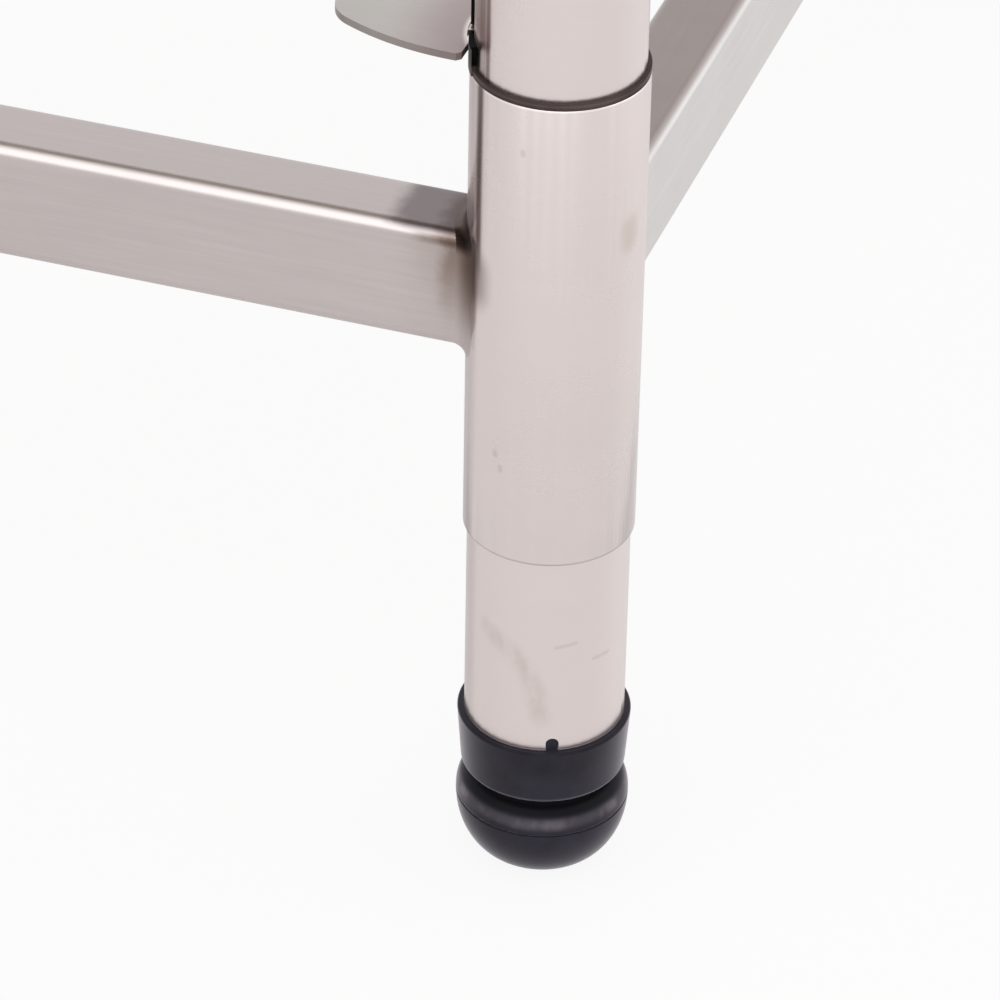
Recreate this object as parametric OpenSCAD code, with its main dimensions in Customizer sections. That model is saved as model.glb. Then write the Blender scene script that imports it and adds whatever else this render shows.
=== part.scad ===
/* [Table] */
// Overall length of the top, left to right
top_length = 1220; // [900:10:1800]
// Overall depth of the top, front to back
top_depth = 610; // [500:10:900]
// Height of the working surface above the floor
table_height = 864; // [700:1:950]
// Distance from the edges of the top to the leg centres
leg_inset = 65; // [62:1:90]

/* [Top] */
// Thickness of the folded steel sheet
sheet_t = 1.5; // [1:0.1:2.5]
// Height of the turned-down rim
rim_h = 40; // [34:1:60]
// Width of the hem folded in under the rim
hem_w = 14; // [8:1:20]
// Outer radius of the rim at the corners
corner_r = 8; // [5:0.5:15]
// Thickness of the board under the sheet
board_t = 16; // [14:1:18]
// Gap round the board, inside the rim
board_gap = 1; // [0.5:0.1:2]

/* [Channels] */
// Height of the stiffening channels under the board
channel_h = 22; // [18:1:40]
// Width of a channel's closed side
crown_w = 60; // [56:1:80]
// Width of each channel flange
flange_w = 20; // [16:1:25]
// Thickness of the channel steel
channel_t = 1.5; // [1:0.1:2.5]
// Gap between a channel's end and the hem
channel_gap = 6; // [2:1:20]
// Number of screws along each channel flange
flange_screws = 4; // [2:1:8]
// Diameter of the screws that hold a channel to the board
wood_screw_d = 4; // [3:0.5:5]
// Length of their thread in the board
wood_screw_l = 12; // [8:1:13]

/* [Legs] */
// Outside diameter of the leg tube
leg_d = 38.1; // [34:0.1:42]
// Wall thickness of the leg tube
leg_wall = 1.2; // [1:0.1:2]
// Width of the key notch in the tube's lower end
key_w = 3; // [2:0.1:5]
// Height of the key notch
key_h = 3.4; // [3:0.1:8]
// Angle of the key from the front, towards the outer side
key_angle = 24; // [0:1:60]

/* [Leg sockets] */
// Length of the leg inside its socket
socket_depth = 70; // [50:1:100]
// Wall thickness of the socket
socket_wall = 3.2; // [2.5:0.1:5]
// Clearance between the leg and its socket, on the radius
socket_clear = 0.1; // [0.05:0.05:0.3]
// Length of the socket's mounting plate
plate_l = 84; // [80:1:90]
// Width of the socket's mounting plate
plate_w = 54; // [52:1:56]
// Thickness of the socket's mounting plate
plate_t = 4; // [3:0.5:6]
// Distance between the mounting bolts along the plate
bolt_spacing_x = 64; // [62:1:68]
// Distance between the mounting bolts across the plate
bolt_spacing_y = 34; // [28:1:34]
// Diameter of the mounting bolts
bolt_d = 6; // [5:1:6]

/* [Base frame] */
// Height of the sleeves' lower ends above the floor
sleeve_z = 94.5; // [80:0.5:200]
// Length of a sleeve
sleeve_h = 120; // [100:1:140]
// Wall thickness of a sleeve
sleeve_wall = 0.9; // [0.8:0.1:2]
// Running clearance between leg and sleeve, on the radius
sleeve_clear = 0.05; // [0.03:0.01:0.1]
// Height of the black ring on the sleeve's mouth
ring_h = 1.6; // [1:0.1:3]
// Height of the black tongue above the sleeve's mouth
tongue_h = 28; // [20:1:40]
// Angle that the tongue covers round the leg
tongue_angle = 68; // [50:1:74]
// Radial thickness of the tongue
tongue_t = 1.2; // [1:0.1:2]
// Width of the rails
rail_w = 20; // [16:0.5:28]
// Height of the rails
rail_h = 30; // [20:0.5:36]
// Wall thickness of the rails
rail_wall = 1.5; // [1:0.1:2]
// Outer corner radius of the rails
rail_corner_r = 3; // [2.2:0.1:4]
// Height of the rails' centre line above the sleeve's lower end
rail_rise = 63; // [56:0.5:68]

/* [Shelf tabs] */
// Distance from the leg's centre to the tab's nose
tab_reach = 52; // [46:1:56]
// Width of the tab at its root
tab_w = 31; // [28:1:33]
// Thickness of the tab
tab_t = 1.8; // [1.5:0.1:3]
// Height of the tab's upper face above the sleeve's mouth
tab_lift = 7.5; // [5:0.5:10]
// Radius of the tab's long sides
tab_side_r = 60; // [58:1:90]
// Width of the neck between the tab and the sleeve
neck_w = 4; // [3:0.5:8]
// Angle of the neck from the tab's middle, towards the front
neck_angle = 6; // [0:1:8]

/* [Clamps] */
// Diameter of the clamping screws
clamp_d = 8; // [6:1:8]
// Diameter of the welded bosses that carry them
boss_d = 14; // [12:1:16]
// Height of a boss above the tube that it is welded to
boss_h = 7; // [6:0.5:9]
// Distance from a sleeve's end to its nearer clamping screw
clamp_inset = 16; // [12:1:26]

/* [Feet] */
// Outside diameter of the foot
foot_d = 41.4; // [40:0.1:46]
// Height of the collar under the leg tube
collar_h = 14.9; // [12:0.1:20]
// Diameter of the collar's lower edge
collar_low_d = 39.2; // [37:0.1:39.6]
// Height of the swelling shoulder below the collar
shoulder_h = 9.4; // [8:0.1:12]
// Diameter of the groove between the collar and the shoulder
groove_d = 33; // [30:0.5:36]
// Height of the groove
groove_h = 2.6; // [1:0.1:4]
// Height of the rounded pad at the foot's end
dome_h = 16.4; // [12:0.1:20]
// Diameter of the flat that stands on the floor
flat_d = 19; // [16:1:24]
// Diameter of the foot's threaded stem
stem_d = 12; // [10:1:14]
// How far the foot screws out
foot_travel = 25; // [10:1:30]
// Length of thread still held when the foot is right out
thread_hold = 21; // [18:1:30]

/* [Hidden] */
CORNERS = ["front_right", "front_left", "rear_right", "rear_left"];
RAILS = ["front", "rear", "left", "right"];
CHANNELS = ["front", "middle", "rear"];
PER_LEG = [
    "leg_socket", "leg_tube", "foot_insert", "foot_stem", "foot_bulb", "foot_pad",
    "sleeve", "sleeve_bush", "shelf_tab"
];
NODES = concat(
    ["table_top", "top_core", "channel_screws", "socket_bolts", "socket_nuts", "socket_set_screws"],
    [for (name = CHANNELS) str("hat_channel_", name)],
    [for (name = RAILS) str("rail_", name)],
    ["clamp_bosses", "clamp_screws"],
    [for (piece = PER_LEG) for (name = CORNERS) str(piece, "_", name)]
);
node = "all";

// Small gaps that keep neighbouring pieces apart
weld_gap = 0.1;
fit_gap = 0.05;
loose_gap = 0.3;
cut = 1;
$fn = 96;

steel = [0.80, 0.79, 0.78];
satin_steel = [0.68, 0.68, 0.68];
zinc = [0.62, 0.64, 0.66];
board_brown = [0.62, 0.48, 0.34];
black = [0.07, 0.07, 0.07];

// Levels
sheet_z = table_height - sheet_t;
board_z = sheet_z - board_t;
channel_z = board_z - channel_h;
plate_z = channel_z - plate_t;
rim_z = table_height - rim_h;
foot_h = dome_h + loose_gap + shoulder_h + collar_h;
collar_z = foot_h - collar_h;
sleeve_top = sleeve_z + sleeve_h;
rail_z = sleeve_z + rail_rise;

// Places and radii
leg_x = top_length / 2 - leg_inset;
leg_y = top_depth / 2 - leg_inset;
leg_r = leg_d / 2;
sleeve_bore_r = leg_r + sleeve_clear;
sleeve_r = sleeve_bore_r + sleeve_wall;
socket_bore_r = leg_r + socket_clear;
socket_r = socket_bore_r + socket_wall;
channel_l = top_length - 2 * (sheet_t + hem_w + channel_gap);
channel_y = [-leg_y, 0, leg_y];
key_r = key_w / 2;
tongue_r = sleeve_bore_r + tongue_t;
plug_h = foot_travel + thread_hold - collar_h;
stem_bottom = dome_h / 2;
stem_top = foot_h + plug_h - loose_gap;

// Side signs of a corner: 1 is right or rear, -1 is left or front
function side_x(i) = i % 2 == 0 ? 1 : -1;
function side_y(i) = i < 2 ? -1 : 1;

// Puts a piece drawn for the front right leg at leg i
module at_leg(i) {
    translate([side_x(i) * leg_x, side_y(i) * leg_y, 0])
        mirror([side_x(i) < 0 ? 1 : 0, 0, 0])
            mirror([0, side_y(i) > 0 ? 1 : 0, 0])
                children();
}

module at_every_leg() {
    for (i = [0:3]) at_leg(i) children();
}

// Flat rectangle with round corners, centred
module rounded_rect(l, w, r) {
    square([l - 2 * r, w], center = true);
    square([l, w - 2 * r], center = true);
    for (x = [-1, 1], y = [-1, 1]) {
        translate([x * (l / 2 - r), y * (w / 2 - r)]) circle(r = r);
    }
}

module slab(l, w, r, z, h) {
    translate([0, 0, z]) linear_extrude(h) rounded_rect(l, w, r);
}

// Top
module table_top() color(steel) {
    inner_r = corner_r - sheet_t;
    inner_l = top_length - 2 * sheet_t;
    inner_w = top_depth - 2 * sheet_t;
    difference() {
        slab(top_length, top_depth, corner_r, rim_z, rim_h);
        slab(inner_l, inner_w, inner_r, rim_z + sheet_t, rim_h - 2 * sheet_t);
        slab(inner_l - 2 * hem_w, inner_w - 2 * hem_w, inner_r, rim_z - cut, sheet_t + 2 * cut);
    }
}

function screw_x(i) = channel_l * ((i + 0.5) / flange_screws - 0.5);

module at_channel_screws() {
    flange_middle = crown_w / 2 + flange_w / 2;
    for (y = channel_y, side = [-1, 1], i = [0:flange_screws - 1]) {
        translate([screw_x(i), y + side * flange_middle, board_z]) children();
    }
}

module top_core() color(board_brown) {
    margin = 2 * (sheet_t + board_gap);
    board_r = corner_r - sheet_t - board_gap;
    difference() {
        slab(top_length - margin, top_depth - margin, board_r, board_z, board_t);
        at_channel_screws() translate([0, 0, -cut])
            cylinder(h = wood_screw_l + cut + loose_gap, d = wood_screw_d + 2 * fit_gap);
    }
}

module channel_screws() color(zinc) {
    head_h = 2.5;
    at_channel_screws() {
        cylinder(h = wood_screw_l, d = wood_screw_d);
        translate([0, 0, -channel_t]) cylinder(h = channel_t, d = wood_screw_d);
        translate([0, 0, -channel_t - head_h]) cylinder(h = head_h, d = 2 * wood_screw_d);
    }
}

// The channel's section, drawn with its flanges level with z = 0
module channel_section() {
    for (side = [-1, 1]) {
        translate([side * (crown_w / 2 + flange_w / 2), -channel_t / 2])
            square([flange_w, channel_t], center = true);
        translate([side * (crown_w / 2 - channel_t / 2), -channel_h / 2])
            square([channel_t, channel_h], center = true);
    }
    translate([0, -channel_h + channel_t / 2]) square([crown_w, channel_t], center = true);
}

module at_bolts() {
    for (x = [-1, 1], y = [-1, 1]) {
        translate([x * bolt_spacing_x / 2, y * bolt_spacing_y / 2, plate_z]) children();
    }
}

module bolt_hole() {
    translate([0, 0, -cut]) cylinder(h = plate_t + channel_t + 2 * cut, d = bolt_d + 0.4);
}

module hat_channel(i) color(zinc) {
    difference() {
        translate([0, channel_y[i], board_z])
            rotate([90, 0, 90])
                linear_extrude(channel_l, center = true)
                    channel_section();
        at_every_leg() at_bolts() bolt_hole();
        at_channel_screws() translate([0, 0, -channel_t - cut])
            cylinder(h = channel_t + 2 * cut, d = wood_screw_d + 2 * fit_gap);
    }
}

// Leg sockets and their fasteners
socket_screw_z = plate_z - socket_depth / 2;
// Points from the leg's axis towards the middle of the table
inward = 135;

// Welded round boss, saddled on a tube of radius r at height z
module boss(r, z) {
    difference() {
        translate([0, 0, z]) rotate([0, 90, inward]) cylinder(h = r + boss_h, d = boss_d);
        translate([0, 0, z - boss_d]) cylinder(h = 2 * boss_d, r = r + weld_gap);
        translate([0, 0, z]) rotate([0, 90, inward])
            cylinder(h = r + boss_h + cut, d = clamp_d + 2 * fit_gap);
    }
}

// Headless clamping screw with a hexagon recess, in a boss on a tube of radius r
module set_screw(r, z, tip_r) {
    length = r + boss_h + 1.5 - tip_r;
    recess = 3.5;
    translate([0, 0, z]) rotate([0, 90, inward]) translate([0, 0, tip_r]) difference() {
        cylinder(h = length, d = clamp_d);
        translate([0, 0, length - recess]) cylinder(h = recess + cut, d = clamp_d * 0.58, $fn = 6);
    }
}

module leg_socket(i) color(satin_steel) at_leg(i) {
    difference() {
        union() {
            translate([-plate_l / 2, -plate_w / 2, plate_z]) cube([plate_l, plate_w, plate_t]);
            translate([0, 0, plate_z - socket_depth]) cylinder(h = socket_depth, r = socket_r);
        }
        translate([0, 0, plate_z - socket_depth - cut]) cylinder(h = socket_depth + cut, r = socket_bore_r);
        at_bolts() bolt_hole();
        translate([0, 0, socket_screw_z]) rotate([0, 90, inward])
            cylinder(h = socket_r + cut, d = clamp_d + 2 * fit_gap);
    }
    boss(socket_r - weld_gap, socket_screw_z);
}

module socket_bolts() color(zinc) {
    head_h = 4;
    shank = plate_t + channel_t + bolt_d;
    at_every_leg() at_bolts() {
        cylinder(h = shank, d = bolt_d);
        translate([0, 0, -head_h]) cylinder(h = head_h, d = bolt_d * 1.85, $fn = 6);
    }
}

module socket_nuts() color(zinc) {
    nut_z = plate_t + channel_t;
    at_every_leg() at_bolts() difference() {
        translate([0, 0, nut_z]) cylinder(h = bolt_d * 0.8, d = bolt_d * 1.85, $fn = 6);
        translate([0, 0, nut_z - cut]) cylinder(h = bolt_d + cut, d = bolt_d + 2 * fit_gap);
    }
}

module socket_set_screws() color(zinc) {
    at_every_leg() set_screw(socket_r, socket_screw_z, leg_r + fit_gap);
}

// Arch-topped key, drawn from radius r0 to r1 with its foot on the collar
module key_prism(r0, r1, gap) {
    translate([0, 0, foot_h]) rotate([0, 0, key_angle]) rotate([90, 0, 0])
        translate([0, 0, r0]) linear_extrude(r1 - r0) {
            translate([0, key_h - key_r]) circle(r = key_r + gap);
            translate([-key_r - gap, -gap]) square([key_w + 2 * gap, key_h - key_r + gap]);
        }
}

module leg_tube(i) color(steel) at_leg(i) {
    difference() {
        translate([0, 0, foot_h]) cylinder(h = plate_z - foot_h, r = leg_r);
        translate([0, 0, foot_h - cut]) cylinder(h = plate_z - foot_h + 2 * cut, r = leg_r - leg_wall);
        key_prism(leg_r - leg_wall - cut, leg_r + cut, fit_gap);
    }
}

// Feet
plug_r = leg_r - leg_wall - fit_gap;

module foot_insert(i) color(black) at_leg(i) {
    edge = 0.6;
    difference() {
        rotate_extrude() polygon([
            [0, collar_z],
            [collar_low_d / 2 - edge, collar_z],
            [collar_low_d / 2, collar_z + edge],
            [foot_d / 2, foot_h - edge],
            [foot_d / 2 - edge, foot_h],
            [plug_r, foot_h],
            [plug_r, foot_h + plug_h - cut],
            [plug_r - cut, foot_h + plug_h],
            [0, foot_h + plug_h]
        ]);
        translate([0, 0, collar_z - cut])
            cylinder(h = collar_h + plug_h + 2 * cut, r = stem_d / 2 + fit_gap);
    }
    key_prism(plug_r - cut, leg_r - fit_gap, 0);
}

module foot_stem(i) color(zinc) at_leg(i) {
    translate([0, 0, stem_bottom]) cylinder(h = stem_top - stem_bottom - cut, d = stem_d);
    translate([0, 0, stem_top - cut]) cylinder(h = cut, d1 = stem_d, d2 = stem_d - 2 * cut);
}

// Radius of the rounded end at height z
function dome_r(z) =
    flat_d / 2 + (foot_d / 2 - flat_d / 2) * sqrt(1 - pow(1 - z / dome_h, 2));

arc_steps = 12;
function dome_points() = [
    for (k = [0:arc_steps]) let (z = dome_h * (1 - cos(90 * k / arc_steps))) [dome_r(z), z]
];

// Quarter of an ellipse from the foot's widest line up to the groove
function shoulder_points(z0, h) = [
    for (k = [0:arc_steps])
        [
            groove_d / 2 + (foot_d - groove_d) / 2 * cos(90 * k / arc_steps),
            z0 + h * sin(90 * k / arc_steps)
        ]
];

module foot_bulb(i) color(black) at_leg(i) {
    low = dome_h + loose_gap;
    high = collar_z - loose_gap;
    shoulder = shoulder_points(low, high - low - groove_h);
    difference() {
        rotate_extrude() polygon(concat([[0, low]], shoulder, [[groove_d / 2, high], [0, high]]));
        translate([0, 0, low - cut]) cylinder(h = collar_z, r = stem_d / 2 + fit_gap);
    }
}

module foot_pad(i) color(black) at_leg(i) {
    difference() {
        rotate_extrude() polygon(concat([[0, 0]], dome_points(), [[0, dome_h]]));
        translate([0, 0, stem_bottom - loose_gap]) cylinder(h = dome_h, r = stem_d / 2 + fit_gap);
    }
}

// Base frame
module sleeve(i) color(steel) at_leg(i) {
    difference() {
        translate([0, 0, sleeve_z]) cylinder(h = sleeve_h, r = sleeve_r);
        translate([0, 0, sleeve_z - cut]) cylinder(h = sleeve_h + 2 * cut, r = sleeve_bore_r);
        for (z = clamp_levels) translate([0, 0, z]) rotate([0, 90, inward])
            cylinder(h = sleeve_r + cut, d = clamp_d + 2 * fit_gap);
    }
}

// Part of the tongue, from the given angle on
module tongue_part(start, angle, h) {
    rotate([0, 0, start]) rotate_extrude(angle = angle) square([tongue_r, h]);
}

// Black ring on the sleeve's mouth, with a tongue behind the tab that is low in front of the neck
module sleeve_bush(i) color(black) at_leg(i) {
    slot = neck_w + 2 * loose_gap;
    slot_h = neck_top + loose_gap;
    tall = tongue_angle / 2 + neck_angle;
    difference() {
        translate([0, 0, sleeve_top]) union() {
            cylinder(h = ring_h, r = sleeve_r);
            tongue_part(180 - tongue_angle / 2, tall, tongue_h);
            tongue_part(180 - tongue_angle / 2, tongue_angle, neck_top);
        }
        translate([0, 0, sleeve_top - cut]) cylinder(h = tongue_h + 2 * cut, r = sleeve_bore_r);
        rotate([0, 0, neck_angle]) translate([-2 * leg_d, -slot / 2, sleeve_top - cut])
            cube([2 * leg_d, slot, slot_h + cut]);
    }
}

// The neck stays a little below the tab's face, so that a shelf lies on the tab alone
neck_top = tab_lift - loose_gap;
tab_root_r = tongue_r + loose_gap;
tab_root_x = leg_r;
tab_half = tab_w / 2;
tab_run = tab_reach - tab_root_x;
// Radius and centre of the nose arc that runs on from both sides
side_drop = tab_side_r - tab_half;
nose_r = (pow(tab_side_r, 2) - pow(side_drop, 2) - pow(tab_run, 2)) / (2 * (tab_side_r - tab_run));
nose_x = tab_root_x + tab_run - nose_r;
nose_angle = atan2(side_drop, nose_x - tab_root_x);

// Outline of one half of the tab, from the nose to the root, away from the leg
function tab_half_outline() = concat(
    [for (k = [0:arc_steps]) let (a = nose_angle * k / arc_steps)
        [nose_x + nose_r * cos(a), nose_r * sin(a)]],
    [for (k = [1:arc_steps]) let (a = nose_angle + (90 - nose_angle) * k / arc_steps)
        [tab_root_x + tab_side_r * cos(a), tab_side_r * sin(a) - side_drop]],
    [[tab_root_x - cut, tab_half - cut]]
);

module tab_outline() {
    half = tab_half_outline();
    other = [for (k = [len(half) - 1:-1:1]) [half[k].x, -half[k].y]];
    mirror([1, 0]) polygon(concat(half, other));
}

module shelf_tab(i) color(satin_steel) at_leg(i) {
    difference() {
        translate([0, 0, sleeve_top + tab_lift - tab_t]) linear_extrude(tab_t) tab_outline();
        translate([0, 0, sleeve_top]) cylinder(h = 2 * tab_lift, r = tab_root_r);
    }
    // Neck and foot that stand on the sleeve's mouth
    intersection() {
        rotate([0, 0, neck_angle]) union() {
            translate([-leg_d, -neck_w / 2, sleeve_top + tab_lift - tab_t])
                cube([leg_d - sleeve_bore_r, neck_w, tab_t]);
            translate([-sleeve_r, -neck_w / 2, sleeve_top]) cube([sleeve_wall + cut, neck_w, tab_lift]);
        }
        difference() {
            translate([0, 0, sleeve_top]) cylinder(h = neck_top, r = tab_root_r + cut);
            translate([0, 0, sleeve_top - cut]) cylinder(h = tab_lift + 2 * cut, r = sleeve_bore_r);
        }
    }
}

module rail_section() {
    difference() {
        rounded_rect(rail_w, rail_h, rail_corner_r);
        rounded_rect(rail_w - 2 * rail_wall, rail_h - 2 * rail_wall, rail_corner_r - rail_wall);
    }
}

module sleeve_cuts() {
    at_every_leg() translate([0, 0, sleeve_z]) cylinder(h = sleeve_h, r = sleeve_r + weld_gap);
}

module rail(i) color(steel) {
    along_x = i < 2;
    side = i % 2 == 0 ? -1 : 1;
    length = 2 * (along_x ? leg_x : leg_y);
    difference() {
        translate([along_x ? 0 : side * leg_x, along_x ? side * leg_y : 0, rail_z])
            rotate([90, 0, along_x ? 90 : 0])
                linear_extrude(length, center = true)
                    rail_section();
        sleeve_cuts();
    }
}

clamp_levels = [sleeve_z + clamp_inset, sleeve_top - clamp_inset];

module clamp_bosses() color(satin_steel) {
    at_every_leg() for (z = clamp_levels) boss(sleeve_r, z);
}

module clamp_screws() color(zinc) {
    at_every_leg() for (z = clamp_levels) set_screw(sleeve_r, z, leg_r + loose_gap);
}

// Whether the piece with this name is to be drawn
function shown(name) = node == "all" || node == name;

if (shown("table_top")) table_top();
if (shown("top_core")) top_core();
if (shown("channel_screws")) channel_screws();
if (shown("socket_bolts")) socket_bolts();
if (shown("socket_nuts")) socket_nuts();
if (shown("socket_set_screws")) socket_set_screws();
if (shown("clamp_bosses")) clamp_bosses();
if (shown("clamp_screws")) clamp_screws();
for (i = [0:2]) if (shown(str("hat_channel_", CHANNELS[i]))) hat_channel(i);
for (i = [0:3]) {
    if (shown(str("rail_", RAILS[i]))) rail(i);
    if (shown(str("leg_socket_", CORNERS[i]))) leg_socket(i);
    if (shown(str("leg_tube_", CORNERS[i]))) leg_tube(i);
    if (shown(str("foot_insert_", CORNERS[i]))) foot_insert(i);
    if (shown(str("foot_stem_", CORNERS[i]))) foot_stem(i);
    if (shown(str("foot_bulb_", CORNERS[i]))) foot_bulb(i);
    if (shown(str("foot_pad_", CORNERS[i]))) foot_pad(i);
    if (shown(str("sleeve_", CORNERS[i]))) sleeve(i);
    if (shown(str("sleeve_bush_", CORNERS[i]))) sleeve_bush(i);
    if (shown(str("shelf_tab_", CORNERS[i]))) shelf_tab(i);
}
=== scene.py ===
import math

import bpy
from mathutils import Matrix, Vector


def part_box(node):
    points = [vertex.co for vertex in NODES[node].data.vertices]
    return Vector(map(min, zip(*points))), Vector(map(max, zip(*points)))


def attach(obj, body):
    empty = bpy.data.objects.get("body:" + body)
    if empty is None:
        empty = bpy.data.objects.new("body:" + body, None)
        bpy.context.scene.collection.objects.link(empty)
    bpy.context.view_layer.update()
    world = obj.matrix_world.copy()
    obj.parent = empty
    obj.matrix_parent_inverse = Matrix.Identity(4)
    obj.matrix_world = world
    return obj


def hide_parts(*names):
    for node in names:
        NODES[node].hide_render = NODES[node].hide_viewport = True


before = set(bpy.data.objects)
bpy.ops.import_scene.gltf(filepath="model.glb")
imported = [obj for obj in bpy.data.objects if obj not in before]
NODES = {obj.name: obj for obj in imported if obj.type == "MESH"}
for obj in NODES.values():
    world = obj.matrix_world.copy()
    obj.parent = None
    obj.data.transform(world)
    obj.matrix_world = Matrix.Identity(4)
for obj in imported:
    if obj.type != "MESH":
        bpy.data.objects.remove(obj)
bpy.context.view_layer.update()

CORNERS = ("front_right", "front_left", "rear_right", "rear_left")
MM = 0.001


# Places taken from the CAD nodes

def axis_of(node):
    lo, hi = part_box(node)
    return (lo.x + hi.x) / 2, (lo.y + hi.y) / 2


LEGS = {c: axis_of("sleeve_" + c) for c in CORNERS}
LEG_X, LEG_Y = LEGS["rear_right"]
SLEEVE_LO, SLEEVE_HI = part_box("sleeve_front_right")
SLEEVE_R = (SLEEVE_HI.x - SLEEVE_LO.x) / 2
TUBE_LO, TUBE_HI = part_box("leg_tube_front_right")
TUBE_R = (TUBE_HI.x - TUBE_LO.x) / 2
RAIL_LO, RAIL_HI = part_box("rail_front")
RAIL_W, RAIL_H = RAIL_HI.y - RAIL_LO.y, RAIL_HI.z - RAIL_LO.z
RAIL_Z = (RAIL_HI.z + RAIL_LO.z) / 2
RAIL_TOP = RAIL_HI.z
RAIL_CORNER = 3.0 * MM


def inward(corner):
    """Signs that point from a leg to the middle of the table."""
    x, y = LEGS[corner]
    return (-1 if x > 0 else 1), (-1 if y > 0 else 1)


# Mesh helpers

def mesh_piece(name, shape, body, material, smooth=True, crease=None):
    """A piece that rides on a body. Edges sharper than crease, in degrees, aren't smoothed."""
    mesh = bpy.data.meshes.new(name)
    mesh.from_pydata([tuple(v) for v in shape.verts], [], shape.faces)
    mesh.validate()
    piece = bpy.data.objects.new(name, mesh)
    bpy.context.scene.collection.objects.link(piece)
    mesh.materials.append(material)
    for polygon in mesh.polygons:
        polygon.use_smooth = smooth
    if crease:
        mesh.set_sharp_from_angle(angle=math.radians(crease))
    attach(piece, body)
    return piece


LATHE_STEPS = 128
ARC_STEPS = 4


class Mesh:
    """Collects vertices and faces of one piece."""

    def __init__(self):
        self.verts = []
        self.faces = []

    def rings(self, rings, closed=True, caps=False):
        """Joins rings of equal length; closed joins the last ring to the first."""
        base = len(self.verts)
        n = len(rings[0])
        for ring in rings:
            self.verts.extend(ring)
        count = len(rings)
        for i in range(count if closed else count - 1):
            a, b = base + i * n, base + ((i + 1) % count) * n
            for k in range(n):
                m = (k + 1) % n
                self.faces.append((a + k, a + m, b + m, b + k))
        if caps and not closed:
            self.faces.append(tuple(base + k for k in reversed(range(n))))
            self.faces.append(tuple(base + (count - 1) * n + k for k in range(n)))

    def lathe(self, profile, centre, closed=True, caps=False):
        """Turns (radius, height) points about an upright axis; heights count from centre's z."""
        rings = []
        for r, z in profile:
            rings.append([centre + Vector((r * math.cos(a), r * math.sin(a), z))
                          for a in (2 * math.pi * k / LATHE_STEPS for k in range(LATHE_STEPS))])
        self.rings(rings, closed, caps)


def softened(points, radii):
    """A closed profile with a small arc in place of each corner that has a radius."""
    out = []
    count = len(points)
    for k, (x, y) in enumerate(points):
        r = radii[k]
        if r == 0:
            out.append((x, y))
            continue
        here = Vector((x, y))
        before = Vector(points[k - 1]) - here
        after = Vector(points[(k + 1) % count]) - here
        half = before.angle(after) / 2
        cut = min(r / math.tan(half), before.length * 0.49, after.length * 0.49)
        start, end = here + before.normalized() * cut, here + after.normalized() * cut
        for i in range(ARC_STEPS + 1):
            t = i / ARC_STEPS
            p = start * (1 - t) ** 2 + here * (2 * t * (1 - t)) + end * t ** 2
            out.append((p.x, p.y))
    return out


# Material helpers

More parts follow.
